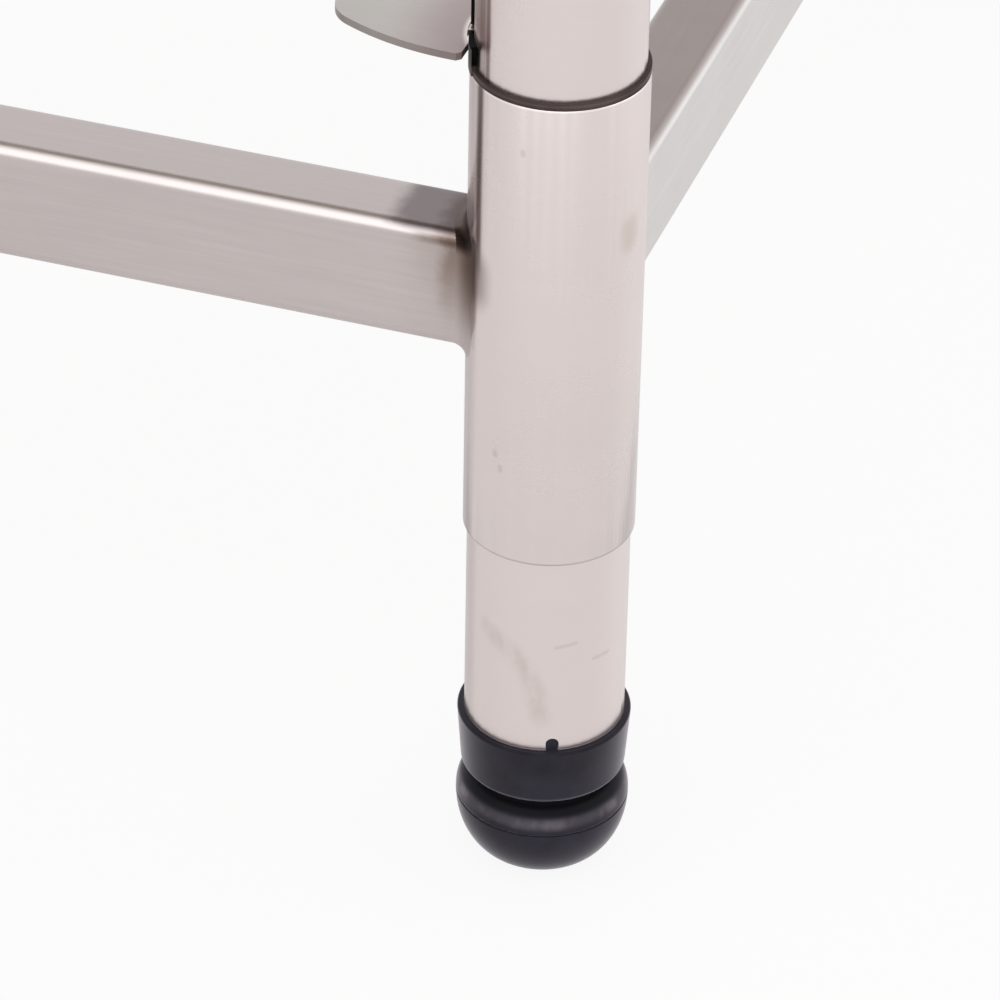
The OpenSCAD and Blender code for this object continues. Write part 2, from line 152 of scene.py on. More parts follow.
class Shader:
    """A Principled material with a short way to add nodes."""

    def __init__(self, name, metallic=0.0):
        self.mat = bpy.data.materials.new(name)
        self.mat.use_nodes = True
        self.tree = self.mat.node_tree
        self.bsdf = self.tree.nodes["Principled BSDF"]
        self.bsdf.inputs["Metallic"].default_value = metallic
        self.coords = self.node("ShaderNodeTexCoord").outputs["Object"]
        parts = self.node("ShaderNodeSeparateXYZ", {"Vector": self.coords}).outputs
        self.x, self.y, self.z = parts["X"], parts["Y"], parts["Z"]

    def node(self, kind, links=None, **values):
        made = self.tree.nodes.new(kind)
        for key, value in values.items():
            setattr(made, key, value)
        for key, value in (links or {}).items():
            socket = made.inputs[key]
            if isinstance(value, bpy.types.NodeSocket):
                self.tree.links.new(value, socket)
            else:
                socket.default_value = value
        return made

    def scaled(self, scale, turn=(0, 0, 0), shift=(0, 0, 0)):
        return self.node("ShaderNodeMapping", {
            "Vector": self.coords, "Scale": scale, "Rotation": turn, "Location": shift,
        }).outputs["Vector"]

    def noise(self, vector, detail=4.0, rough=0.6):
        return self.node("ShaderNodeTexNoise", {
            "Vector": vector, "Scale": 1.0, "Detail": detail, "Roughness": rough,
        }).outputs["Fac"]

    def ramp(self, value, low, high, out_low=0.0, out_high=1.0, smooth=True):
        return self.node("ShaderNodeMapRange", {
            "Value": value, "From Min": low, "From Max": high,
            "To Min": out_low, "To Max": out_high,
        }, interpolation_type="SMOOTHSTEP" if smooth else "LINEAR").outputs["Result"]

    def math(self, kind, a, b=0.0):
        return self.node("ShaderNodeMath", {0: a, 1: b}, operation=kind).outputs[0]

    def mix(self, factor, a, b, blend="MIX"):
        made = self.node("ShaderNodeMix", data_type="RGBA", blend_type=blend)
        for index, value in ((0, factor), (6, a), (7, b)):
            if isinstance(value, bpy.types.NodeSocket):
                self.tree.links.new(value, made.inputs[index])
            elif index:
                made.inputs[index].default_value = tuple(value) + (1.0,)
            else:
                made.inputs[index].default_value = value
        return made.outputs[2]

    def tint(self, factor, times):
        """Multiplies the base colour by a colour where the factor is 1."""
        self.base = self.mix(factor, self.base, times, "MULTIPLY")
        self.colour(self.base)

    def mirrored(self):
        """Place counted from the nearest leg's axis, outward in x and y, and the height."""
        x = self.math("SUBTRACT", self.math("ABSOLUTE", self.x), LEG_X)
        y = self.math("SUBTRACT", self.math("ABSOLUTE", self.y), LEG_Y)
        return self.node("ShaderNodeCombineXYZ", {"X": x, "Y": y, "Z": self.z}).outputs["Vector"]

    def from_leg(self):
        """Distance in plan from the nearest leg's axis, in metres."""
        flat = self.node("ShaderNodeVectorMath", {0: self.mirrored(), 1: (1, 1, 0)},
                         operation="MULTIPLY").outputs["Vector"]
        return self.node("ShaderNodeVectorMath", {0: flat}, operation="LENGTH").outputs["Value"]

    def normal_z(self):
        normal = self.node("ShaderNodeNewGeometry").outputs["Normal"]
        return self.node("ShaderNodeSeparateXYZ", {"Vector": normal}).outputs["Z"]

    def upward(self):
        """1 on faces that look up, 0 on upright ones."""
        return self.ramp(self.normal_z(), 0.45, 0.9)

    def rounded(self):
        """1 on the rounded edges between top faces and upright ones."""
        z = self.normal_z()
        return self.math("MULTIPLY", self.ramp(z, 0.2, 0.45), self.ramp(z, 0.85, 0.98, 1.0, 0.0))

    def stroke(self, points, inner, outer, coords=None):
        """1 along a line through the points, fading to 0 between inner and outer, in metres."""
        coords = coords or self.coords
        total = None
        for a, b in zip(points, points[1:]):
            a, b = Vector(a), Vector(b)
            span = b - a
            off = self.node("ShaderNodeVectorMath", {0: coords, 1: a}, operation="SUBTRACT")
            along = self.node("ShaderNodeVectorMath", {0: off.outputs["Vector"],
                              1: span / span.length_squared}, operation="DOT_PRODUCT")
            held = self.node("ShaderNodeClamp", {"Value": along.outputs["Value"]})
            foot = self.node("ShaderNodeVectorMath", {0: span, "Scale": held.outputs["Result"]},
                             operation="SCALE")
            reach = self.node("ShaderNodeVectorMath", {0: off.outputs["Vector"],
                              1: foot.outputs["Vector"]}, operation="DISTANCE")
            one = self.ramp(reach.outputs["Value"], inner, outer, 1.0, 0.0)
            total = one if total is None else self.math("MAXIMUM", total, one)
        return total

    def colour(self, value):
        self.tree.links.new(value, self.bsdf.inputs["Base Color"])

    def roughness(self, value):
        self.tree.links.new(value, self.bsdf.inputs["Roughness"])

    def bump(self, height, strength, distance):
        made = self.node("ShaderNodeBump", {"Height": height, "Strength": strength, "Distance": distance})
        self.tree.links.new(made.outputs["Normal"], self.bsdf.inputs["Normal"])

    def constant(self, **values):
        """Sets the shader's own sockets; the names have _ in place of spaces."""
        for key, value in values.items():
            self.bsdf.inputs[key.replace("_", " ")].default_value = value

    def stretched(self, amount, turned):
        """Stretches highlights along the upright tubes."""
        self.constant(Anisotropic=amount, Anisotropic_Rotation=turned)
        made = self.node("ShaderNodeTangent", direction_type="RADIAL", axis="Z")
        self.tree.links.new(made.outputs[0], self.bsdf.inputs["Tangent"])


def shade(colour, factor):
    return tuple(min(1.0, c * factor) for c in colour)


def brushed(name, colour, rough, grain, streak=0.06, depth=0.15, turn=(0, 0, 0), smudge=0.05,
            spread=0.04):
    """Satin steel: fine brushing along one direction, faint smudges, and a few longer scratches."""
    s = Shader(name, metallic=1.0)
    fine = s.noise(s.scaled(grain, turn), detail=3.0, rough=0.7)
    broad = s.noise(s.scaled(tuple(g * 0.13 for g in grain), turn, (3.1, 1.7, 5.3)), detail=2.0)
    cloud = s.noise(s.scaled((22, 22, 22), shift=(0.7, 0.2, 0.4)), detail=5.0, rough=0.55)
    base = s.mix(s.ramp(fine, 0.25, 0.75), shade(colour, 1 - streak), shade(colour, 1 + streak))
    base = s.mix(s.ramp(broad, 0.3, 0.7, 0.0, 0.5), base, shade(colour, 1 - 0.6 * streak))
    s.base = s.mix(s.ramp(cloud, 0.4, 0.8, 0.0, 0.5), base, shade(colour, 1 - smudge))
    s.colour(s.base)
    worn = s.ramp(fine, 0.2, 0.8, rough - spread, rough + spread)
    s.roughness(s.math("ADD", worn, s.ramp(cloud, 0.45, 0.75, 0.0, 0.05)))
    s.bump(fine, depth, 0.04 * MM)
    return s


# Base colours of the steel
TUBE = (0.80, 0.712, 0.695)
RAIL = (0.62, 0.56, 0.55)
# The side rails' colour is the rail steel made lighter, as painted light for their lit outer faces
SIDE_RAIL_LIT = (0.79, 0.76, 0.75)
TAB = (0.60, 0.57, 0.55)


def tube_material(name):
    """Polished tube with fine lines round it, as from a tube polisher."""
    s = brushed(name, TUBE, 0.25, (12, 12, 1400), streak=0.010, depth=0.003, smudge=0.045,
                spread=0.008)
    s.stretched(0.7, 0.25)
    return s


def plastic(name, colour, rough, grain=2600, lift=0.25):
    """Moulded plastic or rubber with a fine grain and cloudy lighter and darker places."""
    s = Shader(name)
    fine = s.noise(s.scaled((grain, grain, grain)), detail=2.0)
    cloud = s.noise(s.scaled((60, 60, 60)), detail=4.0)
    s.base = s.mix(s.ramp(cloud, 0.3, 0.7), shade(colour, 1 - lift), shade(colour, 1 + lift))
    s.colour(s.base)
    s.roughness(s.ramp(cloud, 0.3, 0.8, rough - 0.05, rough + 0.08))
    s.bump(fine, 0.4, 0.05 * MM)
    return s


def metres(points):
    return [Vector(p) * MM for p in points]


def painted_reflection_stripe(s, radius, z0, z1, angle, inner, outer, times, fade=0.0, rise=0.0):
    """A painted reflection: a line or band along the tubes at one angle round each leg, darker or lighter by
    its tint. It fades out over its upper end, fade long, and in over its lower end, rise long."""
    a = math.radians(angle)
    here = Vector((radius * math.cos(a), radius * math.sin(a), 0))
    line = s.stroke([here + Vector((0, 0, z0)), here + Vector((0, 0, z1))], inner, outer, s.mirrored())
    if fade:
        line = s.math("MULTIPLY", line, s.ramp(s.z, z1 - fade, z1, 1.0, 0.0))
    if rise:
        line = s.math("MULTIPLY", line, s.ramp(s.z, z0, z0 + rise))
    s.tint(line, times)


# Materials

# The leg in the photograph has a soft dark smudge and two short handling marks low down, in millimetres
leg_steel = tube_material("polished_leg")
SMUDGE = ((535.6, -256.6, 72.2), (539.7, -258.3, 70.1), (544.1, -259.0, 67.1), (546.6, -259.0, 63.1),
          (548.6, -258.7, 57.9), (549.9, -258.4, 50.5))
MARKS = (((553.0, -257.3, 70.7), (557.0, -254.8, 71.4)),
         ((560.4, -251.2, 65.5), (562.6, -247.3, 65.4)))
blotchy = leg_steel.ramp(leg_steel.noise(leg_steel.scaled((330, 330, 200))), 0.35, 0.65, 0.35, 1.0)
smudge = leg_steel.math("MULTIPLY", leg_steel.stroke(metres(SMUDGE), 0.0, 4.2 * MM), blotchy)
leg_steel.tint(smudge, (0.87, 0.855, 0.85))
for mark in MARKS:
    leg_steel.tint(leg_steel.stroke(metres(mark), 0.0, 0.9 * MM), (0.90, 0.87, 0.86))

# Painted reflections: two dark lines over the sleeve, and a dark and a bright band over the whole height.
# Each band is given by its angle, the distances over which it fades, and its tint; angles count from a leg's
# outward x.
DARK_REFLECTION_BAND = (147, 1.0 * MM, 6.5 * MM)
BRIGHT_REFLECTION_BAND = (2, 1.0 * MM, 12 * MM, (1.09, 1.10, 1.105))
ABOVE = SLEEVE_HI.z + 56 * MM
FADE = 28 * MM
painted_reflection_stripe(leg_steel, TUBE_R, SLEEVE_HI.z, ABOVE, 128.5, 0.2 * MM, 1.2 * MM, (0.48, 0.43, 0.44), FADE)
painted_reflection_stripe(leg_steel, TUBE_R, TUBE_LO.z, TUBE_HI.z, *DARK_REFLECTION_BAND, (0.80, 0.785, 0.79))
painted_reflection_stripe(leg_steel, TUBE_R, TUBE_LO.z, TUBE_HI.z, *BRIGHT_REFLECTION_BAND)
painted_reflection_stripe(leg_steel, TUBE_R, SLEEVE_HI.z, ABOVE, 136.5, 0.8 * MM, 1.9 * MM, (0.74, 0.70, 0.71), FADE)

# Heat has left a dark line on the sleeve along each weld, strongest at the rail's top, in a wider soft patch
sleeve_steel = tube_material("polished_sleeve")
local = sleeve_steel.mirrored()
TOE = 13.4 * MM
toe_x = -math.sqrt(SLEEVE_R ** 2 - TOE ** 2)
HEAT_TOP = RAIL_TOP - 4 * MM
for x, y in ((toe_x, TOE), (TOE, toe_x)):
    line = [(x, y, RAIL_TOP + 1 * MM), (x, y, RAIL_LO.z + 4 * MM)]
    seam = sleeve_steel.stroke(line, 0.3 * MM, 1.7 * MM, local)
    fade = sleeve_steel.ramp(sleeve_steel.z, RAIL_LO.z, HEAT_TOP, 0.15, 1.0)
    sleeve_steel.tint(sleeve_steel.math("MULTIPLY", seam, fade), (0.30, 0.26, 0.25))
    patch = [(x, y, RAIL_TOP - 5 * MM), (x, y, RAIL_TOP - 9 * MM)]
    sleeve_steel.tint(sleeve_steel.stroke(patch, 1.5 * MM, 8.5 * MM, local), (0.50, 0.46, 0.45))
# Painted reflections on the sleeve: a dark line down its front, and the dark and bright bands over its
# height
painted_reflection_stripe(sleeve_steel, SLEEVE_R, RAIL_TOP - 10 * MM, SLEEVE_HI.z, 132.5, 0.3 * MM, 2.2 * MM,
           (0.24, 0.21, 0.21), rise=14 * MM)
painted_reflection_stripe(sleeve_steel, SLEEVE_R, SLEEVE_LO.z, SLEEVE_HI.z, *DARK_REFLECTION_BAND, (0.76, 0.745, 0.75))
painted_reflection_stripe(sleeve_steel, SLEEVE_R, SLEEVE_LO.z, SLEEVE_HI.z, *BRIGHT_REFLECTION_BAND)
# Painted shadow darkens its lower rim, and a painted highlight brightens its upper cut end
rim_contact_shadow = sleeve_steel.ramp(sleeve_steel.z, SLEEVE_LO.z + 0.2 * MM, SLEEVE_LO.z + 0.8 * MM, 1.0, 0.0)
sleeve_steel.tint(rim_contact_shadow, (0.74, 0.71, 0.69))
cut_end_highlight = sleeve_steel.ramp(sleeve_steel.z, SLEEVE_HI.z - 0.7 * MM, SLEEVE_HI.z - 0.4 * MM)
sleeve_steel.tint(cut_end_highlight, (1.18, 1.2, 1.2))
# Faint spots: place and size in millimetres
SPOTS = (((564.0, -246.2, 177.4), 3.4), ((543.2, -259.9, 202.5), 0.7),
         ((537.7, -258.6, 121.9), 0.8), ((539.1, -259.1, 118.4), 0.8))
for place, size in SPOTS:
    here = Vector(place) * MM
    line = [here, here + Vector((0, 0, size * MM))]
    sleeve_steel.tint(sleeve_steel.stroke(line, 0.2 * size * MM, 1.4 * size * MM), (0.88, 0.86, 0.83))


# Tints that the heat of welding leaves
SIDE_HEAT = (0.80, 0.75, 0.72)
HOT = (0.60, 0.54, 0.51)


def heat_on_side(s, reach):
    """How strongly the weld's heat has tinted an upright face, by its distance from the leg."""
    high = s.ramp(s.z, RAIL_LO.z + 4 * MM, HEAT_TOP, 0.25, 1.0)
    return s.math("MULTIPLY", s.ramp(reach, 22 * MM, 38 * MM, 1.0, 0.0), high)


def rail_material(name, colour, grain, top):
    """Brushed rail whose ends are tinted by the heat of welding, with a painted reflection on the top face
    near the leg; the tint given for the top is painted shade on its upper face, and its rounded edges carry
    a painted highlight.
    """
    s = brushed(name, colour, 0.34, grain, streak=0.055, depth=0.07, smudge=0.08)
    # Painted shade: the top face is darkened by the tint given for the top
    s.tint(s.upward(), top)
    # Painted highlight along the rounded edges between top and upright faces
    s.tint(s.rounded(), (1.22, 1.24, 1.24))
    reach = s.from_leg()
    cloud = s.noise(s.scaled((160, 160, 160)), detail=3.0)
    wavy = s.math("ADD", reach, s.ramp(cloud, 0.2, 0.8, -1.5 * MM, 1.5 * MM, smooth=False))
    up = s.upward()
    # Near the leg the top face is darker: partly heat tint, partly a painted reflection of the tab above it
    s.tint(s.math("MULTIPLY", s.ramp(wavy, 34 * MM, 40 * MM, 1.0, 0.0), up), (0.44, 0.42, 0.44))
    s.tint(s.math("MULTIPLY", heat_on_side(s, wavy), s.math("SUBTRACT", 1.0, up)), SIDE_HEAT)
    hot = s.math("MULTIPLY", s.ramp(wavy, 23.5 * MM, 28 * MM, 1.0, 0.0),
                 s.ramp(s.z, RAIL_LO.z, HEAT_TOP))
    s.tint(hot, HOT)
    # Close to the weld the bright edge is burnt dark along its lower side
    below_edge = s.math("MULTIPLY", s.ramp(s.z, RAIL_TOP - 4.2 * MM, RAIL_TOP - 2.4 * MM),
                        s.ramp(s.z, RAIL_TOP - 1.7 * MM, RAIL_TOP - 1.0 * MM, 1.0, 0.0))
    s.tint(s.math("MULTIPLY", s.ramp(wavy, 25 * MM, 34 * MM, 1.0, 0.0), below_edge), (0.46, 0.41, 0.38))
    return s


rail_x = rail_material("brushed_rail_long", RAIL, (25, 900, 900), (0.95, 0.95, 0.95))
rail_y = rail_material("brushed_rail_side", SIDE_RAIL_LIT, (900, 25, 900), (0.47, 0.42, 0.41))

tab_steel = brushed("tab_plate", TAB, 0.38, (60, 700, 700), streak=0.05, depth=0.10,
                    turn=(0, 0, math.radians(38)), smudge=0.10)
near_leg = tab_steel.ramp(tab_steel.from_leg(), 22 * MM, 40 * MM, 1.0, 0.0)
tab_steel.tint(near_leg, (0.78, 0.68, 0.71))
# The neck gets a painted highlight
tab_steel.tint(tab_steel.ramp(tab_steel.from_leg(), 20.6 * MM, 22.0 * MM, 1.0, 0.0), (2.0, 2.2, 2.1))
# Painted shade: faces that don't look up are darker
tab_steel.tint(tab_steel.math("SUBTRACT", 1.0, tab_steel.upward()), (0.60, 0.57, 0.56))

top_steel = brushed("top_sheet", (0.615, 0.570, 0.560), 0.32, (9, 700, 700), streak=0.085, depth=0.08,
                    smudge=0.07)
socket_steel = brushed("socket_steel", (0.60, 0.552, 0.54), 0.38, (500, 500, 500), streak=0.05)
zinc = brushed("zinc_fasteners", (0.60, 0.61, 0.62), 0.30, (900, 900, 900), streak=0.06)

weld = brushed("weld_bead", RAIL, 0.34, (500, 500, 120), streak=0.05, depth=0.08)
from_axis = weld.from_leg()
weld.tint(heat_on_side(weld, from_axis), SIDE_HEAT)
weld.tint(weld.ramp(weld.z, RAIL_LO.z, HEAT_TOP), HOT)
# Browner towards the sleeve and the rail's top, and dark in the upper corners
close = weld.ramp(from_axis, 20.2 * MM, 22.8 * MM, 1.0, 0.0)
tall = weld.ramp(weld.z, RAIL_LO.z + 2 * MM, RAIL_TOP - 6 * MM, 0.25, 1.0)
weld.tint(weld.math("MULTIPLY", close, tall), (0.42, 0.36, 0.33))
CORNER_LINE = ((-18.5, 11.2), (-20.0, 9.0))
for line in (CORNER_LINE, [(y, x) for x, y in CORNER_LINE]):
    line = [Vector((x, y, 0)) * MM + Vector((0, 0, RAIL_TOP - 1.5 * MM)) for x, y in line]
    weld.tint(weld.stroke(line, 0.8 * MM, 4 * MM, weld.mirrored()), (0.16, 0.13, 0.12))
weld.tint(weld.ramp(weld.z, RAIL_TOP - 3.5 * MM, RAIL_TOP - 0.5 * MM), (0.46, 0.43, 0.44))
boss_weld = brushed("boss_weld", (0.52, 0.48, 0.46), 0.36, (500, 500, 500), streak=0.12, depth=0.3)

foot_plastic = plastic("black_plastic", (0.0205, 0.0185, 0.0280), 0.38, 1300, 0.32)
pad_rubber = plastic("pad_rubber", (0.0215, 0.0195, 0.0290), 0.44, 1300, 0.32)
for s in (foot_plastic, pad_rubber):
    s.constant(Specular_IOR_Level=0.09, Sheen_Weight=1.0, Sheen_Roughness=0.34,
               Sheen_Tint=(0.9, 0.85, 0.92, 1))
# Painted shade makes the shoulder black up in the collar's shade, and a painted highlight lightens its crest
# in patches
BULB_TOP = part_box("foot_bulb_front_right")[1].z
below_collar = foot_plastic.math("SUBTRACT", BULB_TOP, foot_plastic.z)
on_bulb = foot_plastic.ramp(below_collar, 0.0, 0.3 * MM)
shaded = foot_plastic.math("MULTIPLY", on_bulb,
                           foot_plastic.ramp(below_collar, 4.0 * MM, 5.4 * MM, 1.0, 0.0))
foot_plastic.tint(shaded, (0.16, 0.16, 0.19))
crest = foot_plastic.math("ABSOLUTE", foot_plastic.math("SUBTRACT", below_collar, 6.2 * MM))
patchy = foot_plastic.ramp(foot_plastic.noise(foot_plastic.scaled((70, 70, 30))), 0.38, 0.66, 0.25, 1.0)
crest_highlight = foot_plastic.math("MULTIPLY", foot_plastic.ramp(crest, 0.1 * MM, 2.2 * MM, 1.0, 0.0), patchy)
foot_plastic.tint(crest_highlight, (9.0, 8.8, 6.6))
# The collar's lower edge carries a thin painted highlight
COLLAR_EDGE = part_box("foot_insert_front_right")[0].z + 0.35 * MM
collar_edge_highlight = foot_plastic.math("ABSOLUTE", foot_plastic.math("SUBTRACT", foot_plastic.z, COLLAR_EDGE))
foot_plastic.tint(foot_plastic.ramp(collar_edge_highlight, 0.2 * MM, 0.7 * MM, 1.0, 0.0), (2.6, 2.6, 2.4))

# The ring's tongue is near black over its rim: the dark plastic, deepened as painted shade of the gap it
# stands in
RING_TOP = SLEEVE_HI.z + 1.9 * MM
ring_plastic = plastic("ring_plastic", (0.105, 0.075, 0.072), 0.42)
ring_plastic.constant(Specular_IOR_Level=0.08)
ring_plastic.tint(ring_plastic.ramp(ring_plastic.z, RING_TOP, RING_TOP + 1 * MM), (0.008, 0.006, 0.008))
# The ring's rim is darker above and below its middle, leaving a painted highlight along the middle
rim = ring_plastic.math("ABSOLUTE", ring_plastic.math("SUBTRACT", ring_plastic.z, SLEEVE_HI.z + 1.0 * MM))
ring_plastic.tint(ring_plastic.ramp(rim, 0.1 * MM, 0.55 * MM), (0.66, 0.64, 0.66))

board = Shader("board")
chips = board.node("ShaderNodeTexVoronoi", {"Vector": board.scaled((260, 260, 700)), "Scale": 1.0})
board.colour(board.mix(board.ramp(chips.outputs["Distance"], 0.1, 0.8),
                       (0.44, 0.31, 0.19), (0.60, 0.46, 0.31)))
board.roughness(board.ramp(chips.outputs["Distance"], 0.0, 1.0, 0.75, 0.9))
board.bump(chips.outputs["Distance"], 0.4, 0.3 * MM)

galvanized = Shader("galvanized", metallic=1.0)
spangle = galvanized.node("ShaderNodeTexVoronoi",
                          {"Vector": galvanized.scaled((90, 90, 90)), "Scale": 1.0})
flake = galvanized.node("ShaderNodeSeparateColor", {"Color": spangle.outputs["Color"]})
galvanized.colour(galvanized.mix(flake.outputs["Red"], (0.50, 0.52, 0.535), (0.66, 0.675, 0.69)))
galvanized.roughness(galvanized.ramp(flake.outputs["Green"], 0.0, 1.0, 0.34, 0.5))
galvanized.bump(flake.outputs["Blue"], 0.12, 0.1 * MM)

MATERIAL_OF = [
    ("table_top", top_steel), ("top_core", board), ("hat_channel", galvanized),
    ("channel_screws", zinc), ("socket_", zinc), ("clamp_screws", zinc), ("foot_stem", zinc),
    ("leg_socket", socket_steel), ("clamp_bosses", socket_steel), ("leg_tube", leg_steel),
    ("sleeve_bush", ring_plastic), ("sleeve_", sleeve_steel), ("rail_front", rail_x),
    ("rail_rear", rail_x), ("rail_", rail_y), ("shelf_tab", tab_steel),
    ("foot_pad", pad_rubber), ("foot_", foot_plastic),
]

for name, node in NODES.items():
    shader = next(s for prefix, s in MATERIAL_OF if name.startswith(prefix))
    node.data.materials.clear()
    node.data.materials.append(shader.mat)


# Small rounding on the folded and cut edges of the steel nodes

SAME_POINT = 0.01 * MM
SHARP_FROM = math.radians(40)


def round_edges(prefixes, width):
    for name, node in NODES.items():
        if name.startswith(prefixes):
            weld_points = node.modifiers.new("join", "WELD")
            weld_points.merge_threshold = SAME_POINT
            bevel = node.modifiers.new("edges", "BEVEL")
            bevel.width = width
            bevel.segments = 2
            bevel.limit_method = "ANGLE"
            bevel.angle_limit = SHARP_FROM
            bevel.harden_normals = True


round_edges(("sleeve_front", "sleeve_rear", "shelf_tab"), 0.25 * MM)
round_edges(("table_top", "leg_socket"), 0.4 * MM)


# Ground welds between rails and sleeves, and small beads round the clamping bosses

BEAD_STEPS = 8
SINK = 0.05 * MM
WELD_CREASE = 45
RAIL_BEAD, BOSS_BEAD, SOCKET_BEAD = 3.4 * MM, 1.8 * MM, 3.0 * MM
BOSS_RIPPLE = 0.07


def rounded_perimeter(width, height, radius, step):
    """Points round a rounded rectangle, each with its outward normal."""
    out = []
    half_w, half_h = width / 2 - radius, height / 2 - radius
    corners = ((half_w, half_h, 0), (-half_w, half_h, 90),
               (-half_w, -half_h, 180), (half_w, -half_h, 270))
    for k, (cu, cv, start) in enumerate(corners):
        for i in range(7):
            a = math.radians(start + 15 * i)
            out.append((cu + radius * math.cos(a), cv + radius * math.sin(a), math.cos(a), math.sin(a)))
        nu, nv, after = corners[(k + 1) % 4]
        a = math.radians(after)
        end = (nu + radius * math.cos(a), nv + radius * math.sin(a))
        span = math.hypot(end[0] - out[-1][0], end[1] - out[-1][1])
        count = max(1, int(span / step))
        x0, y0 = out[-1][:2]
        for i in range(1, count):
            f = i / count
            out.append((x0 + (end[0] - x0) * f, y0 + (end[1] - y0) * f, math.cos(a), math.sin(a)))
    return out


def bead_on_tube(mesh, centre, along, perimeter, radius, leg, ripple, hollow=0.05):
    """A hollow fillet, leg wide, where a bar of that perimeter, pointing along, meets an upright tube."""
    side = Vector((-along.y, along.x, 0))
    rings = []
    for index, (u, v, nu, nv) in enumerate(perimeter):
        reach = leg * (1 + ripple * math.sin(index * 1.9) + 0.6 * ripple * math.sin(index * 0.73 + 1))
        corner = math.sqrt(radius ** 2 - u ** 2)
        far = u + reach * nu
        on_bar = Vector((corner + reach, u - SINK * nu, v - SINK * nv))
        on_tube = Vector((math.sqrt((radius - SINK) ** 2 - far ** 2), far, v + reach * nv))
        pull = Vector((corner + hollow * reach, u + hollow * reach * nu, v + hollow * reach * nv))
        root = Vector((corner - 8 * SINK, u - 8 * SINK * nu, v - 8 * SINK * nv))
        ring = []
        for k in range(BEAD_STEPS + 1):
            t = k / BEAD_STEPS
            ring.append(on_bar * (1 - t) ** 2 + pull * (2 * t * (1 - t)) + on_tube * t ** 2)
        ring.append(root)
        rings.append([centre + along * p.x + side * p.y + Vector((0, 0, p.z)) for p in ring])
    mesh.rings(rings)


def even_circle(radius, count=72):
    return [(radius * math.cos(a), radius * math.sin(a), math.cos(a), math.sin(a))
            for a in (2 * math.pi * k / count for k in range(count))]


rail_outline = rounded_perimeter(RAIL_W, RAIL_H, RAIL_CORNER, 1.0 * MM)
fillets = Mesh()
for corner, (x, y) in LEGS.items():
    sx, sy = inward(corner)
    for along in (Vector((sx, 0, 0)), Vector((0, sy, 0))):
        bead_on_tube(fillets, Vector((x, y, RAIL_Z)), along, rail_outline, SLEEVE_R, RAIL_BEAD, 0.0)
mesh_piece("rail_welds", fillets, "base_frame", weld.mat, crease=WELD_CREASE)

BOSS_R = 7.0 * MM
BOSS_INSET = 16.0 * MM
beads = Mesh()
for corner, (x, y) in LEGS.items():
    sx, sy = inward(corner)
    along = Vector((sx, sy, 0)).normalized()
    for z in (SLEEVE_LO.z + BOSS_INSET, SLEEVE_HI.z - BOSS_INSET):
        bead_on_tube(beads, Vector((x, y, z)), along, even_circle(BOSS_R), SLEEVE_R,
                     BOSS_BEAD, BOSS_RIPPLE, 0.3)
mesh_piece("boss_welds", beads, "base_frame", boss_weld.mat, crease=WELD_CREASE)

# Welds on the leg sockets: round the tube under its plate, and round the boss

SOCKET_LO, SOCKET_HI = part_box("leg_socket_front_right")
PLATE_T = 4.0 * MM
SOCKET_R = TUBE_R + 3.3 * MM
PLATE_Z = SOCKET_HI.z - PLATE_T
SOCKET_STEPS = 160
socket_beads = Mesh()
for corner, (x, y) in LEGS.items():
    sx, sy = inward(corner)
    along = Vector((sx, sy, 0)).normalized()
    middle = Vector((x, y, (SOCKET_LO.z + PLATE_Z) / 2))
    bead_on_tube(socket_beads, middle, along, even_circle(BOSS_R), SOCKET_R, BOSS_BEAD, BOSS_RIPPLE, 0.3)
    rings = []
    for k in range(SOCKET_STEPS):
        a = 2 * math.pi * k / SOCKET_STEPS
        out = Vector((math.cos(a), math.sin(a), 0))
        wave = 1 + 0.05 * math.sin(k * 2.356)
        leg = SOCKET_BEAD * wave
        ring = []
        for i in range(BEAD_STEPS + 1):
            t = i / BEAD_STEPS
            r = SOCKET_R - SINK + leg * (t ** 2 + 0.5 * t * (1 - t))
            drop = leg * ((1 - t) ** 2 + 0.5 * t * (1 - t))
            ring.append(Vector((x, y, PLATE_Z + SINK - drop)) + out * r)
        ring.append(Vector((x, y, PLATE_Z + 4 * SINK)) + out * (SOCKET_R - 4 * SINK))
        rings.append(ring)
    socket_beads.rings(rings)
mesh_piece("socket_welds", socket_beads, "table", boss_weld.mat, crease=WELD_CREASE)


# Feet: the collar with its key, the swelling part, the pad and the threaded stem

INSERT_LO, INSERT_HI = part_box("foot_insert_front_right")
BULB_LO, BULB_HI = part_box("foot_bulb_front_right")
PAD_LO, PAD_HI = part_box("foot_pad_front_right")
STEM_LO, STEM_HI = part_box("foot_stem_front_right")
FOOT_R = (PAD_HI.x - PAD_LO.x) / 2
STEM_R = (STEM_HI.x - STEM_LO.x) / 2
BORE_R = STEM_R + 0.05 * MM
PLUG_R = TUBE_R - 1.25 * MM
COLLAR_LOW_R = 19.6 * MM
GROOVE_R = 16.5 * MM
GROOVE_H = 2.6 * MM
FLAT_R = 9.5 * MM
KEY_R, KEY_H, KEY_TURN = 1.5 * MM, 3.4 * MM, math.radians(24)
TIP_R = 0.05 * MM


def weighted(piece):
    piece.modifiers.new("normals", "WEIGHTED_NORMAL").keep_sharp = True


